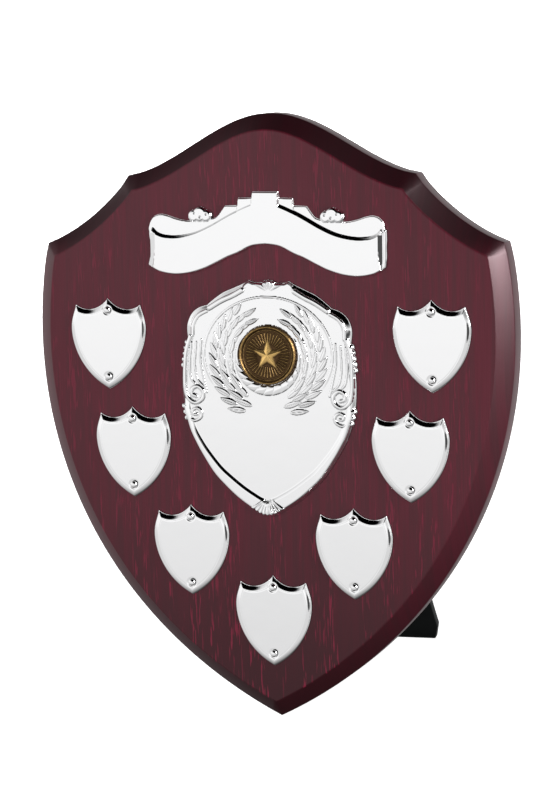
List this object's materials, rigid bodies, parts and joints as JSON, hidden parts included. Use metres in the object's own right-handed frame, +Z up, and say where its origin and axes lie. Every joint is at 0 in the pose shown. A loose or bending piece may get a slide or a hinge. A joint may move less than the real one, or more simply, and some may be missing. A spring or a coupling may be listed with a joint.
{
  "type": "presentation award shield on an easel strut",
  "caption": "Bevelled wooden presentation shield with a title scroll, an embossed centre shield, record shields and a folding easel strut.",
  "frame": {"origin": "middle of the footprint, on the ground that the tip and the strut's sole stand on", "axes": "+Z up, the face looks towards -Y and leans back by 12 degrees, +X to the viewer's right"},
  "size_m": [0.2076, 0.1032, 0.2517],
  "materials": {
    "veneered_board": "satin lacquered mahogany-coloured veneer",
    "chromed_plate": "bright chromed pressed sheet",
    "antique_bronze": "antiqued bronze, dark in the recesses",
    "black_paint": "satin black paint on board",
    "zinc_steel": "zinc plated"
  },
  "bodies": {
    "shield": {"shield_board": "veneered_board", "title_scroll": "chromed_plate", "centre_shield": "chromed_plate", "centre_disc": "antique_bronze", "record_shield_1": "chromed_plate", "record_shield_2": "chromed_plate", "record_shield_3": "chromed_plate", "record_shield_4": "chromed_plate", "record_shield_5": "chromed_plate", "record_shield_6": "chromed_plate", "record_shield_7": "chromed_plate", "record_shield_1_pin_top": "chromed_plate", "record_shield_1_pin_bottom": "chromed_plate", "record_shield_2_pin_top": "chromed_plate", "record_shield_2_pin_bottom": "chromed_plate", "record_shield_3_pin_top": "chromed_plate", "record_shield_3_pin_bottom": "chromed_plate", "record_shield_4_pin_top": "chromed_plate", "record_shield_4_pin_bottom": "chromed_plate", "record_shield_5_pin_top": "chromed_plate", "record_shield_5_pin_bottom": "chromed_plate", "record_shield_6_pin_top": "chromed_plate", "record_shield_6_pin_bottom": "chromed_plate", "record_shield_7_pin_top": "chromed_plate", "record_shield_7_pin_bottom": "chromed_plate", "hinge_board_leaf": "zinc_steel", "hinge_pin": "zinc_steel", "board_screw_left": "zinc_steel", "board_screw_right": "zinc_steel"},
    "strut": {"easel_strut": "black_paint", "hinge_strut_leaf": "zinc_steel", "strut_rivet_left": "zinc_steel", "strut_rivet_right": "zinc_steel"}
  },
  "joints": [
    {"name": "strut_fold", "type": "hinge", "parent": "shield", "child": "strut", "pos_m": [0, 0.00475, 0.17344], "axis": [1, 0, 0], "range_deg": [-26.4, 0]}
  ]
}
